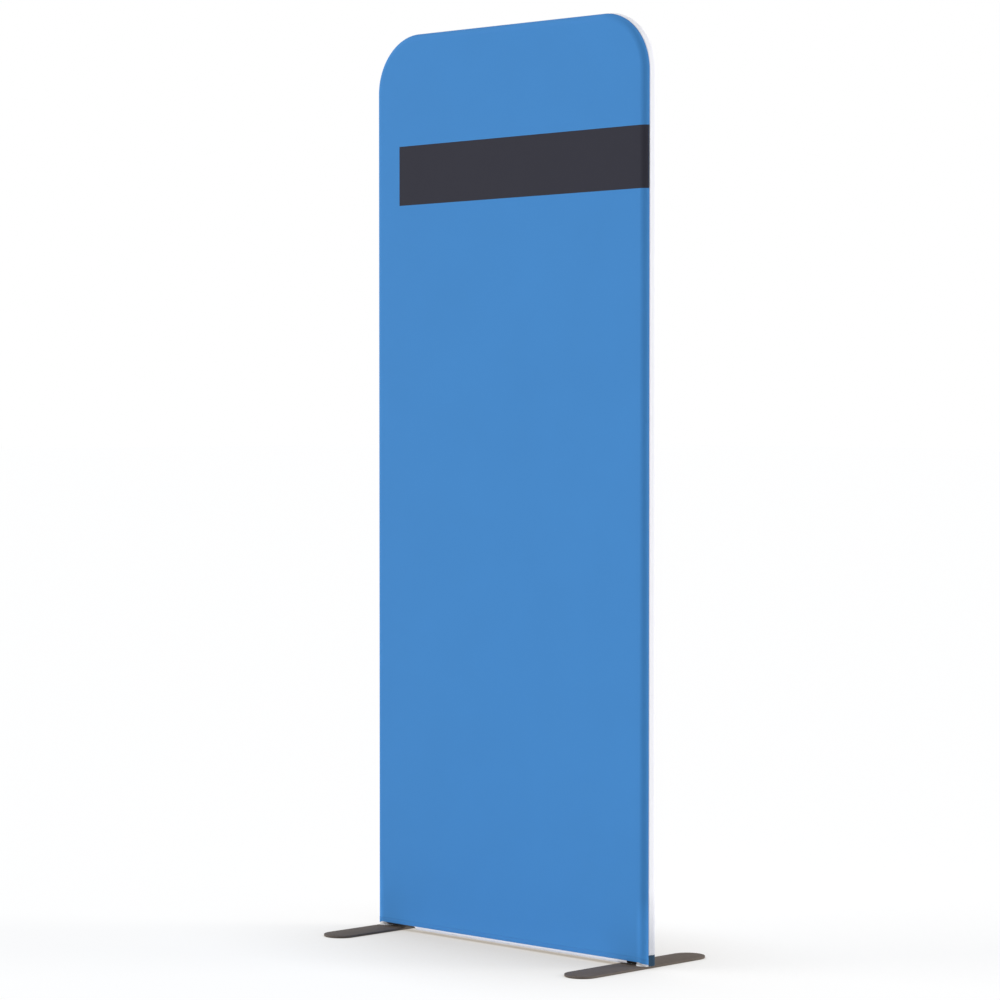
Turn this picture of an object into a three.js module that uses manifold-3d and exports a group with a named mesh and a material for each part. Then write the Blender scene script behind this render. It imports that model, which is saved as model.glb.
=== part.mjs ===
// A free-standing display wall: a stretch cloth cover over a push-together tube frame on two flat feet.
// Everything is in millimetres. X runs along the wall, Y from front (-) to back (+), and Z is up.
// The origin is on the floor, under the middle of the wall.

import * as THREE from 'three';
import { mergeVertices } from 'three/addons/utils/BufferGeometryUtils.js';
import Module from 'manifold-3d';

const wasm = await Module();
wasm.setup();

// Whole wall
const wallWidth = 820;
const wallHeight = 2000;
const cornerRadius = 110;

// Tube frame
const tubeDiameter = 32;
const tubeWall = 1.5;
const tubeEndGap = 0.3;
const slidingGap = 0.3;
const bendTail = 60;
const middleJointHeight = 930;

// Inner spigots that join the tubes, and their snap buttons
const spigotLength = 100;
const spigotWall = 1.8;
const buttonSetback = 25;
const buttonRadius = 4;
const buttonHoleGap = 0.3;
const buttonStandout = 3;
const buttonDome = 1.5;
const buttonFlangeRadius = 5.2;
const buttonFlangeThickness = 1.2;
const springThickness = 0.6;
const springWidth = 8;
const springReach = 35;
const springFoldRadius = 3;

// Tee sockets that carry the bottom bar
const teeReach = 100;
const teeEndWall = 12;
const teeBoltRadius = 3;
const teeBoltHeadRadius = 5;
const teeBoltHeadHeight = 5;
const teeBoltPastAxis = 2;

// Feet
const footLength = 400;
const footWidth = 75;
const plateThickness = 4;
const plateEdgeBevel = 0.6;
const linerThickness = 1;
const linerInset = 2;
const footInset = 23.2;
const plugLength = 52;
const plugFlangeThickness = 2.7;
const plugChamfer = 1.5;
const footScrewRadius = 3;
const footScrewHeadRadius = 6;
const footScrewHeadHeight = 3;
const footScrewLength = 15.8;
const hexSocketRadius = 2.3;
const hexSocketDepth = 1.6;
const drillTipGap = 1;

// Linking magnets inside the uprights
const lowerMagnetHeight = 450;
const upperMagnetDrop = 263.2;
const carrierLength = 40;
const magnetLength = 30;
const magnetWidth = 14;
const magnetThickness = 6;

// Cloth cover
const clothThickness = 0.5;
const clothGap = 0.3;
const seamGap = 0.3;
const frontSeamAngle = THREE.MathUtils.degToRad(79);
const frontHemHeight = 14;
const backHemHeight = 29;
const gussetLeftSetback = 93;
const gussetRightSetback = 18;
const gussetFillet = 8;
const gussetPlateGap = 0.6;

// Zip across the back, above the bottom bar
const zipAboveBar = 14.6;
const zipLap = 8;
const tapeWidth = 12;
const teethWidth = 2.2;
const teethDepth = 2.2;
const teethSlot = 1.4;
const zipPieceGap = 0.3;
const sliderLength = 11;
const sliderWidth = 9.2;
const sliderPlate = 1.1;
const sliderNeckLength = 4;
const sliderNeckWidth = 0.8;
const sliderEndMargin = 6;
const bridgeLength = 9.2;
const bridgeWidth = 1.8;
const bridgeThickness = 1;
const bridgeLeg = 1.2;
const bridgeOpening = 1.9;
const pullerLength = 24;
const pullerWidth = 7;
const pullerThickness = 1.2;
const pullerWindowLength = 4.8;
const pullerWindowWidth = 2.6;
const pullerBar = 1.2;

// Counts for round and bent stretches, and how far a cutter runs past what it cuts
const roundSides = 24;
const smallSides = 12;
const hexSides = 6;
const bendSides = 20;
const bendSteps = 14;
const cornerSteps = 16;
const rimSteps = 9;
const domeSteps = 3;
const filletSteps = 4;
const overrun = 2;

// Sizes and places that follow from the ones above
const tubeRadius = tubeDiameter / 2;
const tubeBore = tubeRadius - tubeWall;
const plugRadius = tubeBore - slidingGap;
const spigotBore = plugRadius - spigotWall;
const clothRadius = tubeRadius + clothGap + clothThickness;
const uprightX = wallWidth / 2 - clothRadius;
const topBarZ = wallHeight - clothRadius;
const plateTop = linerThickness + plateThickness;
const bottomBarZ = plateTop + gussetPlateGap + clothRadius;
const bendEndX = uprightX - cornerRadius - bendTail;
const bendEndZ = topBarZ - cornerRadius - bendTail;
const uprightFootZ = plateTop + slidingGap + plugFlangeThickness + tubeEndGap;
const upperMagnetHeight = bendEndZ - upperMagnetDrop;
const gussetLeftX = -(uprightX - tubeRadius - gussetLeftSetback);
const gussetRightX = uprightX - tubeRadius - gussetRightSetback;
const zipZ = bottomBarZ + tubeRadius + zipAboveBar;
const tapeOuterY = clothRadius - clothThickness - clothGap;
const zipY = tapeOuterY - clothThickness / 2;

const X = new THREE.Vector3(1, 0, 0);
const Z = new THREE.Vector3(0, 0, 1);

// Finishes
const finish = {
  anodised: { color: 0xb9bcc0, roughness: 0.38, metalness: 0.9 },
  steel: { color: 0xc4c4c4, roughness: 0.3, metalness: 1 },
  blackNylon: { color: 0x1d1e20, roughness: 0.55, metalness: 0 },
  whiteNylon: { color: 0xe4e6ec, roughness: 0.5, metalness: 0 },
  greyPowderCoat: { color: 0x5f5b5a, roughness: 0.6, metalness: 0.35 },
  rubber: { color: 0x161616, roughness: 0.9, metalness: 0 },
  magnet: { color: 0xa9a9a6, roughness: 0.25, metalness: 1 },
  bluePrint: { color: 0x498aca, roughness: 0.85, metalness: 0 },
  whiteCloth: { color: 0xf1f3f8, roughness: 0.85, metalness: 0 },
  zipGrey: { color: 0xb7b3b2, roughness: 0.6, metalness: 0 },
};

function piece(name, geometry, look) {
  const mesh = new THREE.Mesh(geometry, new THREE.MeshStandardMaterial(finish[look]));
  mesh.name = name;
  return mesh;
}

// A closed geometry as a solid that can be cut and joined, without the flat triangles at a lathe's poles.
function solidOf(geometry) {
  const bare = geometry.clone();
  bare.deleteAttribute('normal');
  bare.deleteAttribute('uv');
  const merged = mergeVertices(bare);
  const corners = merged.index.array;
  const kept = [];
  for (let i = 0; i < corners.length; i += 3) {
    const [a, b, c] = corners.slice(i, i + 3);
    if (a !== b && b !== c && c !== a) kept.push(a, b, c);
  }
  return new wasm.Manifold(new wasm.Mesh({
    numProp: 3,
    vertProperties: Float32Array.from(merged.attributes.position.array),
    triVerts: Uint32Array.from(kept),
  }));
}

function geometryOf(solid) {
  const { vertProperties, triVerts } = solid.getMesh();
  const geometry = new THREE.BufferGeometry();
  geometry.setAttribute('position', new THREE.BufferAttribute(vertProperties, 3));
  geometry.setIndex(new THREE.BufferAttribute(triVerts, 1));
  geometry.computeVertexNormals();
  return geometry;
}

function cut(geometry, ...cutters) {
  return geometryOf(cutters.reduce((left, cutter) => left.subtract(solidOf(cutter)), solidOf(geometry)));
}

function join(...geometries) {
  return geometryOf(geometries.map(solidOf).reduce((whole, next) => whole.add(next)));
}

// A turned piece about Z, from [radius, height] pairs that start and end on the axis or close on themselves.
function turned(pairs, sides = roundSides) {
  const points = pairs.map(([radius, height]) => new THREE.Vector2(radius, height));
  return new THREE.LatheGeometry(points, sides).rotateX(Math.PI / 2);
}

// A tube about Z that starts at height zero.
function tube(outer, inner, length) {
  return turned([[inner, 0], [outer, 0], [outer, length], [inner, length], [inner, 0]]);
}

// A drill along X, from one place to another, at a height on the Z axis.
function drillAlongX(radius, fromX, toX, z, sides = smallSides) {
  const length = toX - fromX;
  return new THREE.CylinderGeometry(radius, radius, length, sides)
    .rotateZ(Math.PI / 2)
    .translate(fromX + length / 2, 0, z);
}

// A block between two corners.
function block([x0, y0, z0], [x1, y1, z1]) {
  return new THREE.BoxGeometry(x1 - x0, y1 - y0, z1 - z0)
    .translate((x0 + x1) / 2, (y0 + y1) / 2, (z0 + z1) / 2);
}

// The outline of a strip of even thickness along a line of [across, up] points, mitred at its corners.
function stripShape(points, thickness) {
  const line = points.map(([x, y]) => new THREE.Vector2(x, y));
  const sideOf = (i) => {
    const before = line[Math.max(i - 1, 0)];
    const after = line[Math.min(i + 1, line.length - 1)];
    const first = line[i].clone().sub(before).normalize();
    const second = after.clone().sub(line[i]).normalize();
    const way = first.clone().add(second).normalize();
    const stretch = i > 0 && i < line.length - 1 ? 1 / way.dot(first) : 1;
    return new THREE.Vector2(-way.y, way.x).multiplyScalar(stretch * thickness / 2);
  };
  const left = line.map((point, i) => point.clone().add(sideOf(i)));
  const right = line.map((point, i) => point.clone().sub(sideOf(i)));
  return new THREE.Shape([...right, ...left.reverse()]);
}

// Points round an arc, from one angle to another.
function arcPoints([x, y], radius, from, to, steps) {
  return Array.from({ length: steps + 1 }, (_, i) => {
    const angle = from + (to - from) * i / steps;
    return [x + radius * Math.cos(angle), y + radius * Math.sin(angle)];
  });
}

// A group whose own Z runs along a tube and whose own X is the side that the tube's button faces.
function along(direction, facing, place) {
  const group = new THREE.Group();
  const across = new THREE.Vector3().crossVectors(direction, facing);
  group.quaternion.setFromRotationMatrix(new THREE.Matrix4().makeBasis(facing, across, direction));
  group.position.copy(place);
  return group;
}

// Straight tube, with a button hole on its +X side at each given distance from its start.
function drilledTube(length, holes) {
  const drills = holes.map((height) =>
    drillAlongX(buttonRadius + buttonHoleGap, 0, tubeRadius + overrun, height));
  return cut(tube(tubeRadius, tubeBore, length), ...drills);
}

// Snap button: a domed pin with a flange that stops against the spigot's bore. It points along +X.
const flangeTop = Math.sqrt(spigotBore ** 2 - buttonFlangeRadius ** 2) - slidingGap;
const flangeFoot = flangeTop - buttonFlangeThickness;
const buttonTop = tubeRadius + buttonStandout;

function snapButton() {
  const dome = arcPoints([0, 0], 1, 0, Math.PI / 2, domeSteps)
    .map(([out, up]) => [buttonRadius * out, buttonTop - buttonDome + buttonDome * up]);
  dome[dome.length - 1][0] = 0;
  return turned([
    [0, flangeFoot], [buttonFlangeRadius, flangeFoot], [buttonFlangeRadius, flangeTop],
    [buttonRadius, flangeTop], ...dome,
  ], smallSides).rotateY(Math.PI / 2).translate(0, 0, buttonSetback);
}

// Folded leaf spring that holds the button out: one leg under its flange, the other on the far wall.
function buttonSpring() {
  const halfWidth = springWidth / 2;
  const lowLeg = -(Math.sqrt(spigotBore ** 2 - halfWidth ** 2) - slidingGap - springThickness / 2);
  const highLeg = flangeFoot - slidingGap - springThickness / 2;
  const foldCentre = [-springReach, lowLeg + springFoldRadius];
  const legs = [
    [buttonFlangeRadius, highLeg],
    [-buttonFlangeRadius, highLeg],
    ...arcPoints(foldCentre, springFoldRadius, Math.PI / 2, Math.PI * 3 / 2, 2 * domeSteps),
    [buttonFlangeRadius, lowLeg],
  ];
  const outline = stripShape(legs, springThickness);
  return new THREE.ExtrudeGeometry(outline, { depth: springWidth, bevelEnabled: false })
    .translate(buttonSetback, 0, -halfWidth)
    .rotateX(-Math.PI / 2)
    .rotateY(-Math.PI / 2);
}

// The spigot with its button and spring. Its own zero is the line where the two tubes meet.
function snapJoint(name, direction, facing, place, hasSpigot = true) {
  const joint = along(direction, facing, place);
  if (hasSpigot) {
    const sleeve = tube(plugRadius, spigotBore, spigotLength).translate(0, 0, -spigotLength / 2);
    const drill = drillAlongX(buttonRadius + buttonHoleGap, 0, plugRadius + overrun, buttonSetback);
    joint.add(piece(`${name}_spigot`, cut(sleeve, drill), 'anodised'));
  }
  joint.add(piece(`${name}_button`, snapButton(), 'steel'));
  joint.add(piece(`${name}_button_spring`, buttonSpring(), 'steel'));
  return joint;
}

// Top corner: a quarter bend with a straight tail at each end for its spigots.
function topBend() {
  const centre = new THREE.Vector3(uprightX - cornerRadius, 0, topBarZ - cornerRadius);
  class QuarterTurn extends THREE.Curve {
    getPoint(share, target = new THREE.Vector3()) {
      const angle = share * Math.PI / 2;
      return target.set(
        centre.x + cornerRadius * Math.cos(angle), 0, centre.z + cornerRadius * Math.sin(angle));
    }
  }
  const lowerEnd = new THREE.Vector3(uprightX, 0, bendEndZ + tubeEndGap / 2);
  const innerEnd = new THREE.Vector3(bendEndX + tubeEndGap / 2, 0, topBarZ);
  const route = new THREE.CurvePath();
  route.add(new THREE.LineCurve3(lowerEnd, new THREE.Vector3(uprightX, 0, centre.z)));
  route.add(new QuarterTurn());
  route.add(new THREE.LineCurve3(new THREE.Vector3(centre.x, 0, topBarZ), innerEnd));
  const ring = new THREE.Shape().absarc(0, 0, tubeRadius, 0, Math.PI * 2, false);
  ring.holes.push(new THREE.Path().absarc(0, 0, tubeBore, 0, Math.PI * 2, true));
  return new THREE.ExtrudeGeometry(ring, {
    extrudePath: route, steps: bendSteps, curveSegments: bendSides / 2, bevelEnabled: false,
  });
}

// Tee socket: a moulding that saddles the upright and ends in a spigot inside the bottom bar.
// Its own Z runs inwards along the bar from the upright's axis, and its own X points up.
function teeSocket() {
  const spigotEnd = teeReach + spigotLength / 2;
  const body = turned([
    [0, 0], [tubeRadius, 0], [tubeRadius, teeReach], [plugRadius, teeReach],
    [plugRadius, spigotEnd], [0, spigotEnd],
  ]);
  const saddle = new THREE.CylinderGeometry(
    tubeRadius + slidingGap, tubeRadius + slidingGap, tubeDiameter + 2 * overrun, roundSides)
    .rotateZ(Math.PI / 2);
  const boreStart = tubeRadius + slidingGap + teeEndWall;
  const bore = turned([
    [0, boreStart], [spigotBore, boreStart], [spigotBore, spigotEnd + overrun], [0, spigotEnd + overrun],
  ]);
  const boltHole = turned([
    [0, 0], [teeBoltRadius + slidingGap, 0], [teeBoltRadius + slidingGap, boreStart + overrun],
    [0, boreStart + overrun],
  ], smallSides);
  const buttonHole = drillAlongX(
    buttonRadius + buttonHoleGap, 0, plugRadius + overrun, teeReach + buttonSetback);
  return cut(body, saddle, bore, boltHole, buttonHole);
}

// Bolt from inside the tee's bore, through the upright's wall, into the foot plug.
function teeBolt() {
  const seat = tubeRadius + slidingGap + teeEndWall + slidingGap;
  const bolt = turned([
    [0, -teeBoltPastAxis], [teeBoltRadius, -teeBoltPastAxis], [teeBoltRadius, seat],
    [teeBoltHeadRadius, seat], [teeBoltHeadRadius, seat + teeBoltHeadHeight],
    [0, seat + teeBoltHeadHeight],
  ], smallSides);
  const socket = new THREE.CylinderGeometry(hexSocketRadius, hexSocketRadius, 2 * hexSocketDepth, hexSides)
    .rotateX(Math.PI / 2)
    .translate(0, 0, seat + teeBoltHeadHeight);
  return cut(bolt, socket);
}

// Foot plug: closes the upright's end, and takes the tee bolt from the side and the foot screw from below.
// Its own zero is the floor.
function footPlug() {
  const flangeBottom = plateTop + slidingGap;
  const flangeTopZ = flangeBottom + plugFlangeThickness;
  const top = flangeTopZ + plugLength;
  const screwBore = footScrewRadius + slidingGap;
  const boreTop = linerThickness + footScrewLength + drillTipGap;
  const body = turned([
    [0, boreTop], [screwBore, boreTop], [screwBore, flangeBottom], [tubeRadius, flangeBottom],
    [tubeRadius, flangeTopZ], [plugRadius, flangeTopZ], [plugRadius, top - plugChamfer],
    [plugRadius - plugChamfer, top], [0, top],
  ]);
  const crossBore = drillAlongX(
    teeBoltRadius + slidingGap, -plugRadius - overrun, teeBoltPastAxis + slidingGap, bottomBarZ);
  return cut(body, crossBore);
}

// Outline of the foot: a bar with round ends, drawn in from its full size by an inset.
function footOutline(inset) {
  const half = footWidth / 2 - inset;
  const straight = (footLength - footWidth) / 2;
  return new THREE.Shape()
    .absarc(-footInset, straight, half, 0, Math.PI, false)
    .absarc(-footInset, -straight, half, Math.PI, Math.PI * 2, false);
}

// Foot plate: flat steel with eased edges and a countersunk hole under the upright.
function footPlate() {
  const plate = new THREE.ExtrudeGeometry(footOutline(plateEdgeBevel), {
    depth: plateThickness - 2 * plateEdgeBevel, curveSegments: roundSides / 2,
    bevelThickness: plateEdgeBevel, bevelSize: plateEdgeBevel, bevelSegments: 1,
  }).translate(0, 0, linerThickness + plateEdgeBevel);
  const countersink = turned([
    [0, linerThickness - overrun],
    [footScrewHeadRadius + slidingGap, linerThickness - overrun],
    [footScrewHeadRadius + slidingGap, linerThickness],
    [footScrewRadius + slidingGap, linerThickness + footScrewHeadHeight],
    [footScrewRadius + slidingGap, plateTop + overrun],
    [0, plateTop + overrun],
  ], smallSides);
  return cut(plate, countersink);
}

// Countersunk screw that the plate turns on.
function footScrew() {
  const top = linerThickness + footScrewLength;
  const screw = turned([
    [0, linerThickness], [footScrewHeadRadius, linerThickness],
    [footScrewRadius, linerThickness + footScrewHeadHeight], [footScrewRadius, top], [0, top],
  ], smallSides);
  const socket = new THREE.CylinderGeometry(hexSocketRadius, hexSocketRadius, 2 * hexSocketDepth, hexSides)
    .rotateX(Math.PI / 2)
    .translate(0, 0, linerThickness);
  return cut(screw, socket);
}

// Rubber liner glued under the plate, open round the screw's head.
function footLiner() {
  const liner = new THREE.ExtrudeGeometry(footOutline(linerInset), {
    depth: linerThickness, curveSegments: roundSides / 2, bevelEnabled: false,
  });
  const opening = new THREE.CylinderGeometry(
    footScrewHeadRadius + slidingGap, footScrewHeadRadius + slidingGap, 2 * overrun, smallSides)
    .rotateX(Math.PI / 2);
  return cut(liner, opening);
}

// Magnet carrier: a plug inside the upright with an open pocket towards the next wall.
function magnetFaceX() {
  return Math.sqrt(tubeBore ** 2 - (magnetWidth / 2) ** 2) - slidingGap;
}

function magnetCarrier() {
  const body = turned([
    [0, -carrierLength / 2], [plugRadius, -carrierLength / 2],
    [plugRadius, carrierLength / 2], [0, carrierLength / 2],
  ]);
  const pocketHalf = magnetWidth / 2 + slidingGap;
  const pocket = block(
    [magnetFaceX() - magnetThickness - slidingGap, -pocketHalf, -magnetLength / 2 - slidingGap],
    [plugRadius + overrun, pocketHalf, magnetLength / 2 + slidingGap]);
  return cut(body, pocket);
}

function linkingMagnet() {
  return block(
    [magnetFaceX() - magnetThickness, -magnetWidth / 2, -magnetLength / 2],
    [magnetFaceX(), magnetWidth / 2, magnetLength / 2]);
}

// Lower upright: drilled near its foot, on its inner side, for the tee bolt.
function lowerUpright() {
  const length = middleJointHeight - tubeEndGap / 2 - uprightFootZ;
  const boltHole = drillAlongX(
    teeBoltRadius + slidingGap, 0, tubeRadius + overrun, bottomBarZ - uprightFootZ);
  return cut(tube(tubeRadius, tubeBore, length), boltHole);
}

// Upper upright: a button hole near each end, on its inner side.
function upperUpright() {
  const start = middleJointHeight + tubeEndGap / 2;
  const end = bendEndZ - tubeEndGap / 2;
  return drilledTube(end - start, [
    middleJointHeight + buttonSetback - start,
    bendEndZ - buttonSetback - start,
  ]);
}

// Everything at one end of the wall, built with outwards as +X and turned half round for the left end.
function wallEnd(side) {
  const end = new THREE.Group();
  const inwards = X.clone().negate();
  const downwards = Z.clone().negate();
  const at = (x, z) => new THREE.Vector3(x, 0, z);

  const lower = along(Z, inwards, at(uprightX, uprightFootZ));
  lower.add(piece(`${side}_lower_upright`, lowerUpright(), 'anodised'));
  const upper = along(Z, inwards, at(uprightX, middleJointHeight + tubeEndGap / 2));
  upper.add(piece(`${side}_upper_upright`, upperUpright(), 'anodised'));
  end.add(lower, upper, piece(`${side}_top_bend`, topBend(), 'anodised'));

  end.add(snapJoint(`${side}_middle`, Z, inwards, at(uprightX, middleJointHeight)));
  end.add(snapJoint(`${side}_shoulder`, downwards, inwards, at(uprightX, bendEndZ)));
  end.add(snapJoint(`${side}_top`, inwards, downwards, at(bendEndX, topBarZ)));
  end.add(snapJoint(`${side}_tee`, inwards, Z, at(uprightX - teeReach, bottomBarZ), false));

  const tee = along(inwards, Z, at(uprightX, bottomBarZ));
  tee.add(piece(`${side}_tee_socket`, teeSocket(), 'blackNylon'));
  tee.add(piece(`${side}_tee_bolt`, teeBolt(), 'steel'));
  end.add(tee);

  const foot = new THREE.Group();
  foot.position.x = uprightX;
  foot.add(piece(`${side}_foot_plug`, footPlug(), 'whiteNylon'));
  foot.add(piece(`${side}_foot_plate`, footPlate(), 'greyPowderCoat'));
  foot.add(piece(`${side}_foot_screw`, footScrew(), 'steel'));
  foot.add(piece(`${side}_foot_liner`, footLiner(), 'rubber'));
  end.add(foot);

  for (const [level, height] of [['lower', lowerMagnetHeight], ['upper', upperMagnetHeight]]) {
    const holder = new THREE.Group();
    holder.position.set(uprightX, 0, height);
    holder.add(piece(`${side}_${level}_magnet_carrier`, magnetCarrier(), 'blackNylon'));
    holder.add(piece(`${side}_${level}_magnet`, linkingMagnet(), 'magnet'));
    end.add(holder);
  }
  if (side === 'left') end.rotation.z = Math.PI;
  return end;
}

// Top bar and bottom bar, drilled near both ends for the buttons.
function crossBar(name, halfLength, holeSetback, facing, z) {
  const bar = along(X, facing, new THREE.Vector3(-halfLength, 0, z));
  bar.add(piece(name, drilledTube(2 * halfLength, [holeSetback, 2 * halfLength - holeSetback]), 'anodised'));
  return bar;
}

// Cloth skins: a surface that wraps the frame, given at any distance from the tubes' centre line.
// A grid holds rows of points, each a function of that distance, and thickened() closes two such skins.
function thickened(grids, outer, inner) {
  const index = new Map();
  const outerPoints = [];
  const innerPoints = [];
  const pointOf = (place) => {
    const point = place(outer);
    const key = point.toArray().map((value) => value.toFixed(3)).join(' ');
    if (!index.has(key)) {
      index.set(key, outerPoints.length);
      outerPoints.push(point);
      innerPoints.push(place(inner));
    }
    return index.get(key);
  };
  const faces = [];
  for (const grid of grids) {
    for (let row = 0; row + 1 < grid.length; row += 1) {
      for (let column = 0; column + 1 < grid[row].length; column += 1) {
        const [a, b, c, d] = [
          grid[row][column], grid[row][column + 1], grid[row + 1][column + 1], grid[row + 1][column],
        ].map(pointOf);
        faces.push([a, b, c], [a, c, d]);
      }
    }
  }
  const edges = new Set(faces.flatMap(([a, b, c]) => [`${a} ${b}`, `${b} ${c}`, `${c} ${a}`]));
  const count = outerPoints.length;
  const corners = faces.flatMap(([a, b, c]) => [a, b, c, count + c, count + b, count + a]);
  for (const edge of edges) {
    const [a, b] = edge.split(' ').map(Number);
    if (!edges.has(`${b} ${a}`)) corners.push(b, a, count + a, b, count + a, count + b);
  }
  const geometry = new THREE.BufferGeometry().setFromPoints([...outerPoints, ...innerPoints]);
  geometry.setIndex(corners);
  geometry.computeVertexNormals();
  return geometry;
}

// Half of the cover. It lies flat on one face of the wall and rolls over the outer tubes to the side seam.
// facing is -1 for the front and 1 for the back. hems lists the heights at which rows start, lowest first.
// columns are places across the flat field as shares of the distance to the upright, and openBelow
// leaves out the field between them under the second row.
function coverHalf({ facing, lastAngle, hems, columnShares, openBelow }) {
  const archX = uprightX - cornerRadius;
  const archZ = topBarZ - cornerRadius;
  const stations = [
    ...[...hems, archZ].map((z) => ({ x: uprightX, z, out: 0 })),
    ...arcPoints([0, 0], 1, 0, Math.PI / 2, cornerSteps).slice(1).map(([out, up], i) => ({
      x: archX + cornerRadius * out, z: archZ + cornerRadius * up, out: (i + 1) / cornerSteps,
    })),
  ];
  const rim = Array.from({ length: rimSteps + 1 }, (_, i) => lastAngle * i / rimSteps);
  const rimPoint = (station, angle, sign) => (radius) => {
    const reach = radius * Math.sin(angle);
    const lean = station.out * Math.PI / 2;
    return new THREE.Vector3(
      sign * (station.x + reach * Math.cos(lean)),
      facing * radius * Math.cos(angle),
      station.z + reach * Math.sin(lean));
  };
  const fieldPoint = (station, share, angle = 0) => (radius) => new THREE.Vector3(
    share * station.x,
    facing * radius * Math.cos(angle),
    station.z + radius * Math.sin(angle));
  const leftRims = stations.map((station) => [...rim].reverse().map((a) => rimPoint(station, a, -1)));
  const rightRims = stations.map((station) => rim.map((a) => rimPoint(station, a, 1)));
  const shares = [-1, ...columnShares, 1];
  const field = stations.map((station) => shares.map((share) => fieldPoint(station, share)));
  const last = stations[stations.length - 1];
  const roof = rim.map((angle) => shares.map((share) => fieldPoint(last, share, angle)));
  const fields = openBelow
    ? [[field[0].slice(0, 2), field[1].slice(0, 2)], [field[0].slice(2), field[1].slice(2)], field.slice(1)]
    : [field];
  const grids = [leftRims, ...fields, rightRims, roof];
  if (facing > 0) grids.forEach((grid) => grid.forEach((row) => row.reverse()));
  return thickened(grids, clothRadius, clothRadius - clothThickness);
}

// Gusset: the white strip under the bottom bar, from the front hem round to the zip, open over both feet.
function gusset() {
  const middle = clothRadius - clothThickness / 2;
  const bottom = bottomBarZ - middle;
  const frontTop = frontHemHeight - seamGap;
  const fillet = Math.min(gussetFillet, frontTop - bottom - clothThickness);
  const line = [
    [-middle, frontTop],
    ...arcPoints([-middle + fillet, bottom + fillet], fillet, Math.PI, Math.PI * 3 / 2, filletSteps),
    ...arcPoints([middle - fillet, bottom + fillet], fillet, Math.PI * 3 / 2, Math.PI * 2, filletSteps),
    [middle, zipZ - zipLap],
  ];
  return alongWall(stripShape(line, clothThickness), gussetLeftX, gussetRightX);
}

// An outline in Y and Z, extruded along X from one place to another.
function alongWall(shape, fromX, toX) {
  return new THREE.ExtrudeGeometry(shape, { depth: toX - fromX, bevelEnabled: false })
    .rotateY(Math.PI / 2)
    .rotateX(Math.PI / 2)
    .translate(fromX, 0, 0);
}

// Zip: two tapes with their rows of teeth, a slider that straddles them, and its puller.
function zipTape(way) {
  const inner = zipZ + way * (teethSlot / 2 + teethWidth + zipPieceGap);
  const outer = inner + way * tapeWidth;
  return block(
    [gussetLeftX, tapeOuterY - clothThickness, Math.min(inner, outer)],
    [gussetRightX, tapeOuterY, Math.max(inner, outer)]);
}

function zipTeeth(way) {
  const inner = zipZ + way * teethSlot / 2;
  const outer = inner + way * teethWidth;
  return block(
    [gussetLeftX, zipY - teethDepth / 2, Math.min(inner, outer)],
    [gussetRightX, zipY + teethDepth / 2, Math.max(inner, outer)]);
}

const sliderX = gussetRightX - sliderEndMargin - sliderLength / 2;
const sliderFaceY = zipY + teethDepth / 2 + zipPieceGap + sliderPlate;
const pullerPivotY = sliderFaceY + bridgeOpening / 2;

function zipSlider() {
  const halfLength = sliderLength / 2;
  const halfWidth = sliderWidth / 2;
  const outerPlate = block(
    [sliderX - halfLength, sliderFaceY - sliderPlate, zipZ - halfWidth],
    [sliderX + halfLength, sliderFaceY, zipZ + halfWidth]);
  const innerFaceY = 2 * zipY - sliderFaceY;
  const innerPlate = block(
    [sliderX - halfLength, innerFaceY, zipZ - halfWidth],
    [sliderX + halfLength, innerFaceY + sliderPlate, zipZ + halfWidth]);
  const neck = block(
    [sliderX - sliderNeckLength / 2, innerFaceY + sliderPlate / 2, zipZ - sliderNeckWidth / 2],
    [sliderX + sliderNeckLength / 2, sliderFaceY - sliderPlate / 2, zipZ + sliderNeckWidth / 2]);
  const bridge = cut(
    block(
      [sliderX - bridgeLength / 2, sliderFaceY - sliderPlate / 2, zipZ - bridgeWidth / 2],
      [sliderX + bridgeLength / 2, sliderFaceY + bridgeOpening + bridgeThickness, zipZ + bridgeWidth / 2]),
    block(
      [sliderX - bridgeLength / 2 + bridgeLeg, sliderFaceY - sliderPlate, zipZ - bridgeWidth],
      [sliderX + bridgeLength / 2 - bridgeLeg, sliderFaceY + bridgeOpening, zipZ + bridgeWidth]));
  return join(outerPlate, innerPlate, neck, bridge);
}

// The puller lies flat over the zip. Its end bar passes under the slider's bridge.
function zipPuller() {
  const endX = sliderX + pullerBar / 2;
  const tab = block(
    [endX - pullerLength, pullerPivotY - pullerThickness / 2, zipZ - pullerWidth / 2],
    [endX, pullerPivotY + pullerThickness / 2, zipZ + pullerWidth / 2]);
  const window = block(
    [endX - pullerBar - pullerWindowLength, pullerPivotY - pullerThickness, zipZ - pullerWindowWidth / 2],
    [endX - pullerBar, pullerPivotY + pullerThickness, zipZ + pullerWindowWidth / 2]);
  return cut(tab, window);
}

// The whole wall
const wall = new THREE.Group();
wall.add(wallEnd('right'), wallEnd('left'));

const topBarHalf = bendEndX - tubeEndGap / 2;
const bottomBarHalf = uprightX - teeReach - tubeEndGap;
wall.add(crossBar('top_bar', topBarHalf, buttonSetback - tubeEndGap / 2, Z.clone().negate(), topBarZ));
wall.add(crossBar('bottom_bar', bottomBarHalf, buttonSetback - tubeEndGap, Z, bottomBarZ));

wall.add(piece('cover_front', coverHalf({
  facing: -1, lastAngle: frontSeamAngle, hems: [frontHemHeight], columnShares: [], openBelow: false,
}), 'bluePrint'));
wall.add(piece('cover_back', coverHalf({
  facing: 1,
  lastAngle: Math.PI - frontSeamAngle - seamGap / clothRadius,
  hems: [backHemHeight, zipZ + zipLap],
  columnShares: [(gussetLeftX - seamGap) / uprightX, (gussetRightX + seamGap) / uprightX],
  openBelow: true,
}), 'whiteCloth'));
wall.add(piece('bottom_gusset', gusset(), 'whiteCloth'));

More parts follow.
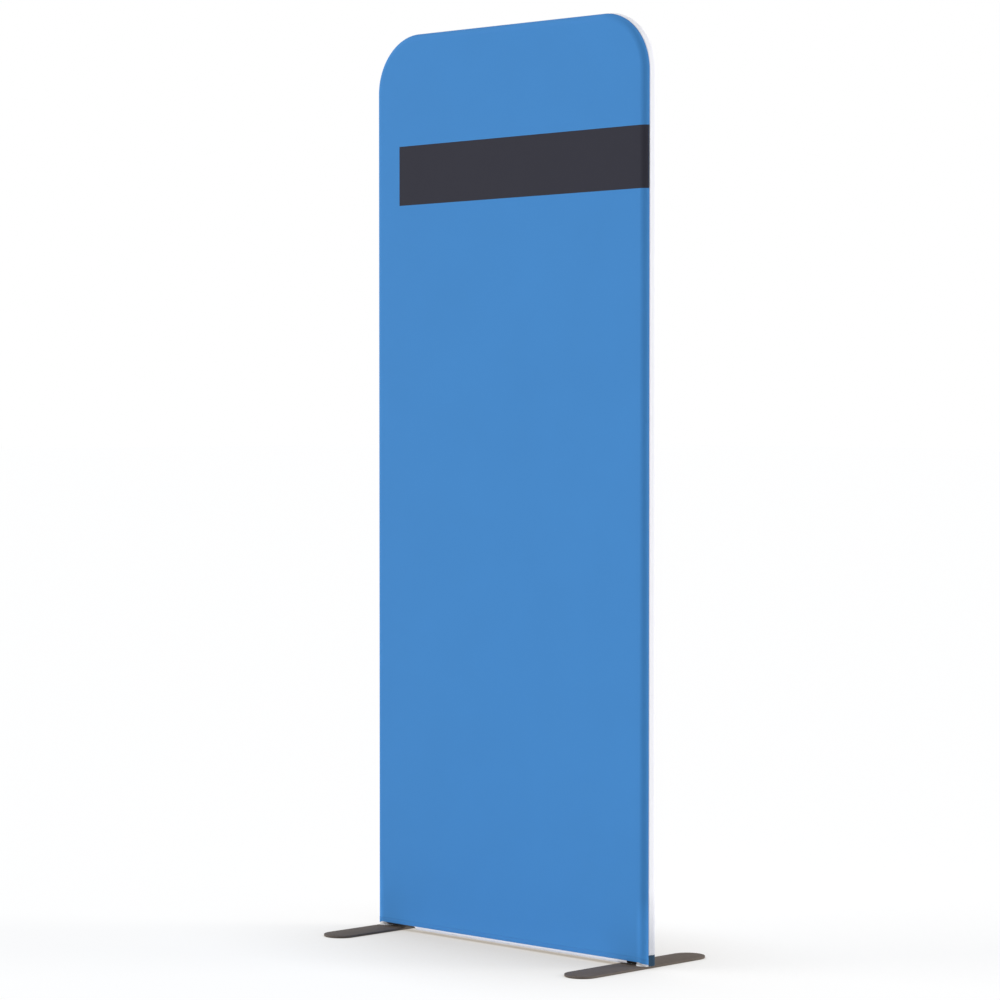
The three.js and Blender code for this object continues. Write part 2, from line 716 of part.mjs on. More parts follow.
wall.add(piece('upper_zip_tape', zipTape(1), 'whiteCloth'));
wall.add(piece('lower_zip_tape', zipTape(-1), 'whiteCloth'));
wall.add(piece('upper_zip_teeth', zipTeeth(1), 'zipGrey'));
wall.add(piece('lower_zip_teeth', zipTeeth(-1), 'zipGrey'));
wall.add(piece('zip_slider', zipSlider(), 'steel'));
wall.add(piece('zip_puller', zipPuller(), 'steel'));

export default wall;
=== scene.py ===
import math

import bmesh
import bpy
from mathutils import Matrix, Vector


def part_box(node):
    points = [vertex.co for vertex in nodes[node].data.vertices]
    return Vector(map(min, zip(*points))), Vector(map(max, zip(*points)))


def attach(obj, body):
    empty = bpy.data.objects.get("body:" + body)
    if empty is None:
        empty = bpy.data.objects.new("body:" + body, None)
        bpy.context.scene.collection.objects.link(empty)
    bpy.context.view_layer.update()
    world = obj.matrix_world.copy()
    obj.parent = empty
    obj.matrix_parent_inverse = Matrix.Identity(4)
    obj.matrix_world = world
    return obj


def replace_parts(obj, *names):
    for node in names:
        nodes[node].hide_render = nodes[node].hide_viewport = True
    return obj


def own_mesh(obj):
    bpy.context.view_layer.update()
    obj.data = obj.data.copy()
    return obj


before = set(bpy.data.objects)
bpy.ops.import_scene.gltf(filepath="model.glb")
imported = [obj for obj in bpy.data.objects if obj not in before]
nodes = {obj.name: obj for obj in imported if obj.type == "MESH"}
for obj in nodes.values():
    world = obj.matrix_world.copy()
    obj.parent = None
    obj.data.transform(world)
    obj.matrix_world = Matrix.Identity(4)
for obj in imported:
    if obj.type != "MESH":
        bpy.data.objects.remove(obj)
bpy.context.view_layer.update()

mm = 0.001


# The tubes. Every upright, bend, bar and inner sleeve is drawn aluminium, satin anodised: a pale grey metal
# with faint lines along its length from the die.
class Socket:
    """One output of a shader node. Arithmetic on it adds Math nodes."""

    def __init__(self, tree, socket):
        self.tree = tree
        self.socket = socket

    def node(self, kind, settings=None, **sockets):
        """Adds a node: its settings first, then the values or links of its sockets, by name or _index."""
        made = self.tree.nodes.new(kind)
        for key, value in (settings or {}).items():
            setattr(made, key, value)
        for key, value in sockets.items():
            index = int(key[1:]) if key[1:].isdigit() else key.replace("_", " ")
            if isinstance(value, Socket):
                self.tree.links.new(value.socket, made.inputs[index])
            else:
                made.inputs[index].default_value = value
        return [Socket(self.tree, output) for output in made.outputs if output.enabled]

    def maths(self, operation, *values):
        return self.node("ShaderNodeMath", {"operation": operation},
                         **{f"_{i}": value for i, value in enumerate(values)})[0]

    def __add__(self, other):
        return self.maths("ADD", self, other)

    def __sub__(self, other):
        return self.maths("SUBTRACT", self, other)

    def __rsub__(self, other):
        return self.maths("SUBTRACT", other, self)

    def __mul__(self, other):
        return self.maths("MULTIPLY", self, other)

    def __gt__(self, other):
        return self.maths("GREATER_THAN", self, other)

    def __lt__(self, other):
        return self.maths("LESS_THAN", self, other)

    def size(self):
        return self.maths("ABSOLUTE", self)

    def wave(self):
        """From 0 to 1 and back, once in each full turn of the value."""
        return self.maths("SINE", self) * 0.5 + 0.5

    def share(self):
        return self.maths("FRACT", self)

    def ramp(self, start, end):
        """From 0 to 1 as the value goes from start to end."""
        return self.node("ShaderNodeMapRange", _0=self, _1=start, _2=end)[0]

    def axes(self):
        return self.node("ShaderNodeSeparateXYZ", Vector=self)

    def tint(self, low, high):
        """A colour that goes from low to high with the value, each a colour or the Socket of one."""
        ends = [end if isinstance(end, Socket) else (*end, 1) for end in (low, high)]
        return self.node("ShaderNodeMix", {"data_type": "RGBA"}, _0=self, _6=ends[0], _7=ends[1])[0]

    def grain(self, cells, detail=2.0, stretch=(1, 1, 1)):
        """Noise with so many cells in a metre, drawn out along any axis whose stretch is below 1."""
        drawn = self.node("ShaderNodeMapping", Vector=self, Scale=stretch)[0]
        return self.node("ShaderNodeTexNoise", Vector=drawn, Scale=cells, Detail=detail)[0]

    def relief(self, depth):
        """The shading of a surface that rises by a depth as the value goes from 0 to 1."""
        return self.node("ShaderNodeBump", Height=self, Distance=depth, Strength=1.0)[0]


def surface(name, colour, roughness, metallic=0.0, sheen=0.0, gloss=0.5):
    """A material, its Principled shader, and the Socket of the object's own coordinates."""
    material = bpy.data.materials.new(name)
    material.use_nodes = True
    tree = material.node_tree
    shader = tree.nodes["Principled BSDF"]
    values = {"Base Color": (*colour, 1), "Roughness": roughness, "Metallic": metallic,
              "Sheen Weight": sheen, "Specular IOR Level": gloss}
    for socket, value in values.items():
        shader.inputs[socket].default_value = value
    return material, shader, Socket(tree, None).node("ShaderNodeTexCoord")[3]


def feed(shader, **links):
    for name, value in links.items():
        value.tree.links.new(value.socket, shader.inputs[name.replace("_", " ")])


def anodised(name, stretch):
    """Satin aluminium whose die lines run along the axis that stretch draws out."""
    material, shader, place = surface(name, (0.72, 0.73, 0.75), 0.36, metallic=0.9)
    lines = place.grain(1600, stretch=stretch)
    cloud = place.grain(30)
    feed(shader,
         Base_Color=(lines * 0.6 + cloud * 0.4).tint((0.62, 0.63, 0.65), (0.80, 0.81, 0.83)),
         Roughness=lines * 0.14 + 0.28,
         Normal=lines.relief(0.02 * mm))
    return material


def dress(name, material):
    nodes[name].data.materials.clear()
    nodes[name].data.materials.append(material)


upright_metal = anodised("anodised_upright", (1, 1, 0.01))
bar_metal = anodised("anodised_bar", (0.01, 1, 1))
sides = {"right": 1, "left": -1}
for side in sides:
    for part in ("upper_upright", "top_bend", "middle_spigot", "shoulder_spigot"):
        dress(f"{side}_{part}", upright_metal)
    dress(f"{side}_top_spigot", bar_metal)
dress("top_bar", bar_metal)


# The lower uprights and the bottom bar. The same drawn tube, seen under the cover in the openings over the
# feet, with its cut ends deburred. Each upright is drilled on its inner side for the tee's bolt, and the bar
# on top for the tees' snap buttons.
def mesh_of(name, points, faces):
    mesh = bpy.data.meshes.new(name)
    mesh.from_pydata([tuple(point) for point in points], [], faces)
    mesh.update()
    return mesh


def placed(name, data):
    made = bpy.data.objects.new(name, data)
    bpy.context.scene.collection.objects.link(made)
    return made


def new_piece(name, mesh, material, slot, body="root", crease=38):
    """A piece of the object, with its material and the body that it moves with. Its slot is not used."""
    mesh.materials.clear()
    mesh.materials.append(material)
    mesh.shade_smooth()
    mesh.set_sharp_from_angle(angle=math.radians(crease))
    made = placed(name, mesh)
    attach(made, body)
    return made


def spread(low, high, steps):
    """Values at even steps from low to high."""
    return [low + (high - low) * i / steps for i in range(steps + 1)]


def arc(centre, radius, start, end, steps):
    """Points [across, up] round an arc, between two angles in degrees."""
    angles = [math.radians(angle) for angle in spread(start, end, steps)]
    return [(centre[0] + radius * math.cos(a), centre[1] + radius * math.sin(a)) for a in angles]


def turned(profile, count=96, closed=False):
    """A mesh turned about Z from [radius, height] pairs, with its outside on the right of their run."""
    points = []
    rings = []
    for radius, height in profile:
        if radius == 0:
            rings.append([len(points)] * count)
            points.append((0, 0, height))
        else:
            rings.append(list(range(len(points), len(points) + count)))
            points += [(x, y, height) for x, y in arc((0, 0), radius, 0, 360, count)[:-1]]
    if closed:
        rings.append(rings[0])
    faces = []
    for low, high in zip(rings, rings[1:]):
        for i in range(count):
            j = (i + 1) % count
            face = [low[i], low[j], high[j], high[i]]
            faces.append([corner for k, corner in enumerate(face) if corner not in face[:k]])
    return mesh_of("turned", points, faces)


def rod(radius, foot, top, count=32):
    """A round bar about Z from one height to another."""
    return turned([(0, foot), (radius, foot), (radius, top), (0, top)], count)


def moved(mesh, way, facing, place):
    """Turns a mesh so that its Z runs along way and its X along facing, and puts it in its place."""
    turn = Matrix((facing, Vector(way).cross(Vector(facing)), way)).transposed().to_4x4()
    mesh.transform(Matrix.Translation(place) @ turn)
    return mesh


def welded(mesh, gap=0.001 * mm):
    """The mesh with points closer than gap made one, and without the slivers that this leaves."""
    work = bmesh.new()
    work.from_mesh(mesh)
    bmesh.ops.remove_doubles(work, verts=work.verts, dist=gap)
    bmesh.ops.dissolve_degenerate(work, edges=work.edges, dist=gap)
    work.to_mesh(mesh)
    work.free()
    return mesh


def baked(made, *tools):
    """The mesh that an object ends up with. It and its tools are then taken away."""
    ready = made.evaluated_get(bpy.context.evaluated_depsgraph_get())
    mesh = bpy.data.meshes.new_from_object(ready)
    for used in (made, *tools):
        bpy.data.objects.remove(used)
    return mesh


def carved(mesh, *cutters):
    """The mesh with others cut out of it."""
    body = placed("carved", mesh)
    tools = [placed("cutter", cutter) for cutter in cutters]
    for tool in tools:
        step = body.modifiers.new("cut", "BOOLEAN")
        step.object = tool
        step.solver = "EXACT"
    return welded(baked(body, *tools))


right = Vector((1, 0, 0))
back = Vector((0, 1, 0))
up = Vector((0, 0, 1))
tube_radius = 16 * mm
tube_bore = 14.5 * mm
cut_reach = 2 * tube_radius
deburr = 0.3 * mm
bolt_hole = 3.3 * mm
button_hole = 4.3 * mm
low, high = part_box("right_lower_upright")
upright_x = (low.x + high.x) / 2
upright_foot = low.z
upright_top = high.z
low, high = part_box("right_tee_button")
tee_button_x = (low.x + high.x) / 2
low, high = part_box("bottom_bar")
bar_height = (low.z + high.z) / 2


def cut_tube(low_end, high_end):
    return turned([
        (tube_bore + deburr, low_end), (tube_radius - deburr, low_end),
        (tube_radius, low_end + deburr), (tube_radius, high_end - deburr),
        (tube_radius - deburr, high_end), (tube_bore + deburr, high_end),
        (tube_bore, high_end - deburr), (tube_bore, low_end + deburr),
    ], closed=True)


def drill(radius):
    """A cutter through one wall of a tube, along Z from the tube's axis."""
    return rod(radius, 0, cut_reach)


for side, sign in sides.items():
    tube = cut_tube(upright_foot, upright_top)
    tube = carved(tube, moved(drill(bolt_hole), -sign * right, up, (0, 0, bar_height)))
    moved(tube, up, right, (sign * upright_x, 0, 0))
    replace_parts(new_piece(f"{side}_lower_tube", tube, upright_metal, "tube"), f"{side}_lower_upright")
tube = moved(cut_tube(low.x, high.x), right, up, (0, 0, bar_height))
holes = [moved(drill(button_hole), up, right, (sign * tee_button_x, 0, bar_height))
         for sign in sides.values()]
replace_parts(new_piece("lower_bar", carved(tube, *holes), bar_metal, "tube"), "bottom_bar")


# The snap buttons and their folded leaf springs, and the bolts and screws. Zinc plated steel, bright with a
# faint cloud in the plating. The springs are stamped strip, and the screws have hex sockets.
zinc, shader, place = surface("zinc_plated_steel", (0.75, 0.75, 0.75), 0.3, metallic=1.0)
cloud = place.grain(260, 3.0)
feed(shader,
     Base_Color=cloud.tint((0.66, 0.67, 0.66), (0.82, 0.82, 0.84)),
     Roughness=cloud * 0.16 + 0.2,
     Normal=place.grain(2500).relief(0.02 * mm))
press = 5 * mm
for side, sign in sides.items():
    pressed = {"middle": sign * right, "shoulder": sign * right, "top": up, "tee": -up}
    for joint, way in pressed.items():
        dress(f"{side}_{joint}_button", zinc)
        node = f"{side}_{joint}_button_spring"
        low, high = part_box(node)
        depth = abs((high - low).dot(way))
        far_leg = (low + high) / 2 + way * depth / 2
        leaf = new_piece(f"{side}_{joint}_leaf", welded(nodes[node].data.copy()), zinc, "bright_steel")
        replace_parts(leaf, node)
        (depth - press) / depth
        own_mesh(leaf)
        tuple(way)
    dress(f"{side}_tee_bolt", zinc)
    dress(f"{side}_foot_screw", zinc)


# The magnets that link two walls, and the carriers that hold them inside the uprights. The magnets are
# nickel plated bars, and the carriers are black nylon plugs.
nickel, shader, place = surface("nickel_plate", (0.6, 0.6, 0.58), 0.16, metallic=1.0)
wipe = place.grain(400)
feed(shader,
     Base_Color=wipe.tint((0.52, 0.52, 0.50), (0.68, 0.67, 0.64)),
     Roughness=wipe * 0.16 + 0.1)

black_nylon, shader, place = surface("black_nylon", (0.06, 0.058, 0.058), 0.5)
spark = place.grain(1800)
feed(shader,
     Base_Color=place.grain(70).tint((0.052, 0.05, 0.05), (0.072, 0.069, 0.068)),
     Roughness=spark * 0.2 + 0.42,
     Normal=spark.relief(0.04 * mm))
for side in sides:
    for level in ("lower", "upper"):
        dress(f"{side}_{level}_magnet", nickel)
        dress(f"{side}_{level}_magnet_carrier", black_nylon)


# The tee sockets. Black nylon mouldings that saddle the uprights and push into the bottom bar. Each has a
# collar that the bar butts against, and shallow grooves round it. They show in the openings over the feet.
collar_reach = 100 * mm
spigot_reach = 150 * mm
spigot_radius = 14.2 * mm
spigot_bore = 12.4 * mm
end_wall = 28.3 * mm
saddle_radius = 16.3 * mm
edge_round = 0.6 * mm
edge_steps = 4
groove_places = (40 * mm, 92 * mm)
groove_width = 2.4 * mm
groove_depth = 0.5 * mm
button_place = 125 * mm
tee_outline = [(0, 0), (tube_radius, 0)]
for groove in groove_places:
    tee_outline += [
        (tube_radius, groove - groove_width),
        (tube_radius - groove_depth, groove - groove_width + groove_depth),
        (tube_radius - groove_depth, groove + groove_width - groove_depth),
        (tube_radius, groove + groove_width),
    ]
tee_outline += [
    *arc((tube_radius - edge_round, collar_reach - edge_round), edge_round, 0, 90, edge_steps),
    (spigot_radius, collar_reach), (spigot_radius, spigot_reach - edge_round),
    (spigot_radius - edge_round, spigot_reach), (0, spigot_reach),
]
for side, sign in sides.items():
    saddle = moved(rod(saddle_radius, -cut_reach, cut_reach, count=96), right, up, (0, 0, 0))
    bore = rod(spigot_bore, end_wall, cut_reach + spigot_reach, count=96)
    button = moved(drill(button_hole), right, up, (0, 0, button_place))
    tee = carved(turned(tee_outline), saddle, bore, drill(bolt_hole), button)
    moved(tee, -sign * right, up, (sign * upright_x, 0, bar_height))
    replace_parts(new_piece(f"{side}_tee", tee, black_nylon, "black_nylon"), f"{side}_tee_socket")


# The foot plugs. White nylon turnings that close the uprights, with a flange under the tube's end that shows
# as a pale disc above the foot. The foot's screw goes up into them and the tee's bolt in from the side.
plug_height = 60 * mm
flange_top = 8 * mm
plug_chamfer = 1.5 * mm
screw_bore = 3.3 * mm
screw_bore_top = 17.8 * mm
bolt_reach = 2.3 * mm
white_nylon, shader, place = surface("white_nylon", (0.8, 0.82, 0.86), 0.42)
haze = place.grain(120)
feed(shader,
     Base_Color=haze.tint((0.74, 0.76, 0.8), (0.86, 0.88, 0.92)),
     Roughness=haze * 0.2 + 0.32)
for side, sign in sides.items():
    flange_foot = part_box(f"{side}_foot_plug")[0].z
    plug = turned([
        (0, screw_bore_top), (screw_bore, screw_bore_top), (screw_bore, flange_foot),
        (tube_radius - deburr, flange_foot), *arc(
            (tube_radius - edge_round, flange_foot + edge_round), edge_round, -90, 0, edge_steps)[1:],
        *arc((tube_radius - edge_round, flange_top - edge_round), edge_round, 0, 90, edge_steps),
        (spigot_radius, flange_top), (spigot_radius, plug_height - plug_chamfer),
        (spigot_radius - plug_chamfer, plug_height), (0, plug_height),
    ])
    bolt_bore = moved(rod(bolt_hole, -bolt_reach, cut_reach), -right, up, (0, 0, bar_height))
    plug = moved(carved(plug, bolt_bore), up, sign * right, (sign * upright_x, 0, 0))
    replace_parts(new_piece(f"{side}_plug", plug, white_nylon, "white_nylon"), f"{side}_foot_plug")


# The feet. Flat steel bars with round ends, laser cut, eased all round and powder coated a warm grey. The
# steel was brushed lengthwise first, so fine streaks show through the coat. A thin rubber liner is glued
# under each, open round the countersunk screw that the foot turns on.
def slab(outline, thickness, ease, steps=3, holes=()):
    """A flat plate, half above and half below zero, from [x, y] outlines, with its edges eased."""
    curve = bpy.data.curves.new("slab", "CURVE")
    curve.dimensions = "2D"
    curve.fill_mode = "BOTH"
    curve.extrude = thickness / 2 - ease
    curve.bevel_depth = ease
    curve.bevel_resolution = steps
    curve.offset = -ease
    for ring in [outline, *holes]:
        spline = curve.splines.new("POLY")
        spline.points.add(len(ring) - 1)
        for point, (x, y) in zip(spline.points, ring):
            point.co = (x, y, 0, 1)
        spline.use_cyclic_u = True
    return welded(baked(placed("slab", curve)))


def stadium(centre_x, width, length, steps=48):
    """A bar with round ends that lies along Y."""
    straight = (length - width) / 2
    return [*arc((centre_x, straight), width / 2, 0, 180, steps),
            *arc((centre_x, -straight), width / 2, 180, 360, steps)]


coat, shader, place = surface("warm_grey_powder_coat", (0.11, 0.105, 0.1), 0.6, gloss=0.02)
streak = place.grain(900, 3.0, (1, 0.02, 1))
orange_peel = place.grain(1100)
patch = place.grain(22, 3.0)
feed(shader,
     Base_Color=(streak * 0.7 + patch * 0.3).tint((0.127, 0.105, 0.090), (0.178, 0.149, 0.129)),
     Roughness=streak * 0.2 + 0.5,
     Normal=(streak * 0.6 + orange_peel * 0.4).relief(0.05 * mm))
rubber, shader, place = surface("rubber_sheet", (0.02, 0.02, 0.02), 0.85)
crumb = place.grain(1500, 3.0)
feed(shader,
     Base_Color=crumb.tint((0.014, 0.014, 0.014), (0.03, 0.03, 0.03)),
     Normal=crumb.relief(0.06 * mm))
plate_ease = 0.7 * mm
liner_ease = 0.15 * mm
head_hole = 6.3 * mm
head_depth = 3 * mm
for side, sign in sides.items():
    for part, ease, neck, material, slot, name in (
            ("plate", plate_ease, screw_bore, coat, "foot_grey", "bar"),
            ("liner", liner_ease, head_hole, rubber, "rubber", "rubber")):
        low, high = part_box(f"{side}_foot_{part}")
        outline = stadium((low.x + high.x) / 2, high.x - low.x, high.y - low.y)
        opening = turned([
            (0, low.z - head_depth), (head_hole, low.z - head_depth), (head_hole, low.z),
            (neck, low.z + head_depth), (neck, high.z + head_depth), (0, high.z + head_depth),
        ], count=48)
        moved(opening, up, right, (sign * upright_x, 0, 0))
        plate = moved(slab(outline, high.z - low.z, ease), up, right, (0, 0, (low.z + high.z) / 2))
        foot = carved(plate, opening)
        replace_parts(new_piece(f"{side}_foot_{name}", foot, material, slot, f"{side}_foot"),
                    f"{side}_foot_{part}")


# The cover's front. One panel of stretch knit, dye printed mid blue with a charcoal band that runs off the
# right edge. It lies flat across the wall, rolls round the tubes to the side seam, and has a turned hem
# below. The print is painted a little paler on its rounding low over the feet of the tubes: a painted light
# for the floor's bounce there.
micrometres = 1e6
cloth_radius = 16.8 * mm
cloth_thickness = 0.5 * mm
corner_radius = 110 * mm
corner_steps = 56
row_gap = 40 * mm
field_columns = 24
rim_columns = 16
rim_end_angles = (8, 5.5, 3.5, 2.2, 1.2, 0.5, 0)
seam_angle = 79
seam_gap_angle = 0.5
front_last = seam_angle - seam_gap_angle
seam_dip = 0.45 * mm
seam_dip_angle = 3.5
allowance_swell = 0.22 * mm
allowance_angle = 24
allowance_start_angle = 4
allowance_end_angle = 5
front_hem = 14 * mm
hem_height = 12 * mm
hem_swell = 0.28 * mm
hem_roll = 0.9 * mm
hem_end = 1.2 * mm
hem_drop = 5 * mm
hem_drop_height = 70 * mm
hem_steps = (0, 0.25, 0.5, 0.9, 1.4, 1.8, 2.2, 2.6, 3, 3.4, 5.5, 7.6, 8, 8.4, 8.8, 9.2, 11, 12, 12.4, 13.2)
stitch_rows = (2.6 * mm, 8.4 * mm)
stitch_sink = 0.16 * mm
stitch_sink_reach = 0.8 * mm
low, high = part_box("top_bar")
bar_top_z = (low.z + high.z) / 2
arch_x = upright_x - corner_radius
arch_z = bar_top_z - corner_radius


def smooth(value):
    """From 0 to 1 as the value does, with soft ends."""
    value = min(max(value, 0), 1)
    return value * value * (3 - 2 * value)


def hem_profile(rise):
    """How far a turned hem stands proud, at a height over its folded edge."""
    roll = -hem_swell * (1 - smooth(rise / hem_roll))
    swell = hem_swell * (1 - smooth((rise - hem_height) / hem_end))
    sunk = sum(stitch_sink * max(0, 1 - abs(rise - row) / stitch_sink_reach) for row in stitch_rows)
    return roll + swell - (sunk if rise > 0 else 0)


def seam_profile(angle, last):
    """How far the cloth stands proud near the side seam: a dip at its stitches, then its allowance."""
    before = last - angle
    dip = -seam_dip * (1 - smooth(before / seam_dip_angle))
    start = smooth(before / allowance_start_angle)
    end = smooth((before - allowance_angle + allowance_end_angle) / allowance_end_angle)
    return dip + allowance_swell * start * (1 - end)


def rim_angles(last):
    """Angles round the outer tube, closer together near the seam."""
    return [*spread(0, last, rim_columns)[:-2], *(last - angle for angle in rim_end_angles)]


def stations(bottoms):
    """Rows of the cover from its lower edge up: half width, height and how far they lean outwards."""
    straight = math.ceil((arch_z - bottoms[-1]) / row_gap)
    heights = [*bottoms[:-1], *spread(bottoms[-1], arch_z, straight)]
    turns = arc((arch_x, arch_z), corner_radius, 0, 90, corner_steps)[1:]
    return [(upright_x, z, 0) for z in heights] + [
        (x, z, math.pi / 2 * i / corner_steps) for i, (x, z) in enumerate(turns, 1)]


def hem_rows(bottom, height=hem_height):
    return [bottom + step * mm * height / hem_height for step in hem_steps]


def thickened(name, outer, inner, faces):
    """A closed sheet, from its outer faces and the point on its inside behind each outer point."""
    count = len(outer)
    edges = {(face[k], face[(k + 1) % 4]) for face in faces for k in range(4)}
    walls = sorted((b, a, a + count, b + count) for a, b in edges if (b, a) not in edges)
    inside = [[corner + count for corner in reversed(face)] for face in faces]
    return mesh_of(name, outer + inner, [*faces, *inside, *walls])


def skins(grids, lift, settle):
    """A closed cloth mesh from grids of (centre, outward, angle) places, first settled and then lifted."""
    index = {}
    outer = []
    inner = []
    faces = []

    def corner(spot):
        centre, outward, angle = spot
        ground = centre + outward * cloth_radius
        key = tuple(round(value * micrometres) for value in ground)
        if key not in index:
            index[key] = len(outer)
            settled = settle(ground, outward, angle)
            outer.append(settled + outward * lift(ground, angle))
            inner.append(settled - outward * cloth_thickness)
        return index[key]

    for grid in grids:
        for low_row, high_row in zip(grid, grid[1:]):
            for spots in zip(low_row, low_row[1:], high_row[1:], high_row):
                faces.append([corner(spot) for spot in spots])
    return thickened("cloth", outer, inner, faces)


def way_out(facing, sign, angle, lean=0):
    """The way out of the cloth at an angle round a tube, which leans over along the arch."""
    bent = math.radians(angle)
    return Vector((sign * math.sin(bent) * math.cos(lean), facing * math.cos(bent),
                   math.sin(bent) * math.sin(lean)))


def cover_grids(facing, rows, last, shares):
    """Grids for one half of the cover. facing is -1 for the front and 1 for the back."""
    rims = rim_angles(last)

    def rim(row, angle, sign):
        x, z, lean = row
        return Vector((sign * x, 0, z)), way_out(facing, sign, angle, lean), angle

    def field(row, share, angle=0):
        return Vector((share * row[0], 0, row[1])), way_out(facing, 0, angle, math.pi / 2), angle

    left_rims = [[rim(row, angle, -1) for angle in reversed(rims)] for row in rows]
    right_rims = [[rim(row, angle, 1) for angle in rims] for row in rows]
    middle = [[field(row, share) for share in shares] for row in rows]
    roof = [[field(rows[-1], share, angle) for share in shares] for angle in rims]
    grids = [left_rims, middle, right_rims, roof]
    if facing > 0:
        grids = [[list(reversed(row)) for row in grid] for grid in grids]
    return grids


def front_lift(ground, angle):
    return hem_profile(ground.z - front_hem) + seam_profile(angle, front_last)


def front_settle(ground, outward, angle):
    """The hem runs down a little over the tubes, towards the side seams."""
    drop = hem_drop * math.sin(math.radians(angle)) * (1 - smooth((ground.z - front_hem) / hem_drop_height))
    return ground - up * drop


def knitted(name, colour, wale=0.85 * mm, course=0.6 * mm):
    """A plain warp knit, in columns of small V-shaped loops, with its height from 0 to 1 and its x and z."""
    material, shader, place = surface(name, colour, 0.82, sheen=0.02, gloss=0.12)
    x, y, z = place.axes()
    across = (x.size() + y) * (1 / wale)
    bow = (across.share() - 0.5).size()
    along_wale = (z + y * 0.5) * (1 / course) + bow * 1.4
    loops = (along_wale * (2 * math.pi)).wave()
    column = 1 - bow * 1.6
    height = loops * 0.45 + column * 0.55
    feed(shader, Roughness=height * 0.12 + 0.76, Normal=height.relief(0.10 * mm))
    return material, shader, place, height, x, z


blue = (0.060, 0.252, 0.60)
charcoal = (0.034, 0.034, 0.047)
blue_shares = (0.94, 1.07)
painted_light_blue_shares = (1.09, 1.24)
charcoal_shares = (0.92, 1.10)
painted_light_reach = (upright_x - 8 * mm, upright_x + 2 * mm)
painted_light_heights = (150 * mm, 95 * mm)
band_left = -333 * mm
band_low = 1621.3 * mm
band_high = 1752.6 * mm
band_climb_share = 0.0106
printed, shader, place, height, x, z = knitted("printed_knit", blue)
level = z - (x - band_left) * band_climb_share
band = (x > band_left) * (level > band_low) * (level < band_high)
# Painted light: the print is painted paler on its rounding low over the feet of the tubes, for the floor's
# bounce there.
painted_light_low = x.size().ramp(*painted_light_reach) * z.ramp(*painted_light_heights)
shades = []
for plain, pale, dark in zip(blue_shares, painted_light_blue_shares, charcoal_shares):
    ground = painted_light_low.tint([plain * c for c in blue], [pale * c for c in blue])
    shades.append(band.tint(ground, [dark * c for c in charcoal]))
# Partly painted shade: the print is darker in the hollows between the knit's loops, and its tone also varies
# at random.
knit_tone_and_shade = place.grain(6, 3.0) * 0.5 + height * 0.5
feed(shader, Base_Color=knit_tone_and_shade.tint(*shades))
front_shares = spread(-1, 1, field_columns)
front_grids = cover_grids(-1, stations(hem_rows(front_hem)), front_last, front_shares)
front_mesh = skins(front_grids, front_lift, front_settle)
front = new_piece("front_panel", front_mesh, printed, "blue_cloth", crease=60)
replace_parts(front, "cover_front")


# The cover's back. The same knit, unprinted white. Its lower edge is turned and stitched to the zip in the
# middle and hemmed higher over each foot, where the wall's tube end shows. It is painted greyer low down at
# each side, over the feet: a painted shade near the floor.
back_hem = 29 * mm
back_last = 180 - seam_angle - seam_gap_angle
back_fullness = 6 * mm
zip_flap = 8 * mm
flap_hem = 6 * mm
side_gap = 0.3 * mm
share_gap = 0.01
painted_shade_reach = (upright_x + 2 * mm, upright_x + 9 * mm)
painted_shade_heights = (165 * mm, 50 * mm)
low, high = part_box("zip_slider")
zip_height = (low.z + high.z) / 2
flap_bottom = zip_height + zip_flap
low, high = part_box("bottom_gusset")
gusset_left = low.x
gusset_right = high.x
gusset_top = high.z
white_knit, shader, place, height, x, z = knitted("white_knit", (0.86, 0.87, 0.9))
# Partly painted shade: the white is darker in the hollows between the knit's loops, and its tone also varies
# at random.
knit_tone_and_shade = place.grain(6, 3.0) * 0.4 + height * 0.6
unshaded_white = knit_tone_and_shade.tint((0.84, 0.845, 0.895), (0.92, 0.925, 0.97))
# Painted shade: the white is painted greyer near each side, low down over the feet.
painted_low_shade = knit_tone_and_shade.tint((0.55, 0.565, 0.62), (0.63, 0.645, 0.70))
painted_low_shade_mask = x.size().ramp(*painted_shade_reach) * z.ramp(*painted_shade_heights)
feed(shader, Base_Color=painted_low_shade_mask.tint(unshaded_white, painted_low_shade))
low_rows = [z for z in hem_rows(back_hem) if z < flap_bottom]
left_share = (gusset_left - side_gap) / upright_x
right_share = (gusset_right + side_gap) / upright_x
back_shares = sorted([left_share, right_share] + [
    share for share in front_shares if min(abs(share - left_share), abs(share - right_share)) > share_gap])


def back_lift(ground, angle):
    """The turned hem is narrower over the zip, between the openings over the feet."""
    if left_share * upright_x < ground.x < right_share * upright_x:
        hem = hem_profile((ground.z - flap_bottom) * hem_height / flap_hem)
    else:
        hem = hem_profile(ground.z - back_hem)
    return hem + seam_profile(angle, back_last)


def fullness(angle):
    """How far the back stands off the tubes, where it is cut a little full."""
    return back_fullness * math.sin(2 * math.radians(min(angle, 90))) ** 2


def back_settle(ground, outward, angle):
    return ground + outward * fullness(angle)


first_flap = len(low_rows)
all_rows = stations([*low_rows, *hem_rows(flap_bottom, flap_hem)])
grids = cover_grids(1, all_rows, back_last, back_shares)
last_column = len(back_shares) - 1
left_cut = last_column - back_shares.index(left_share)
right_cut = last_column - back_shares.index(right_share)
below = grids[1][:first_flap + 1]
grids[1] = grids[1][first_flap:]
grids += [[row[:right_cut + 1] for row in below], [row[left_cut:] for row in below]]
back_mesh = skins(grids, back_lift, back_settle)
back_panel = new_piece("back_panel", back_mesh, white_knit, "white_cloth", crease=60)
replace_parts(back_panel, "cover_back")


# The gusset. A strip of the same white knit under the bottom bar, sewn to the front's hem and to the lower
# zip tape. It hangs a little loose at its front fold, so its lower edge runs in a shallow wave.
gusset_foot = 5.6 * mm
gusset_fold = 8 * mm
gusset_columns = 160
drop_rows = 6
fold_rows = 10
rise_rows = 12
flat_half = 5 * mm
fold_wave = 0.9 * mm
wave_lengths = (0.061, 0.098, 0.173)
wave_shift = 40
sag_share = 0.3
front_edge = front_hem - side_gap


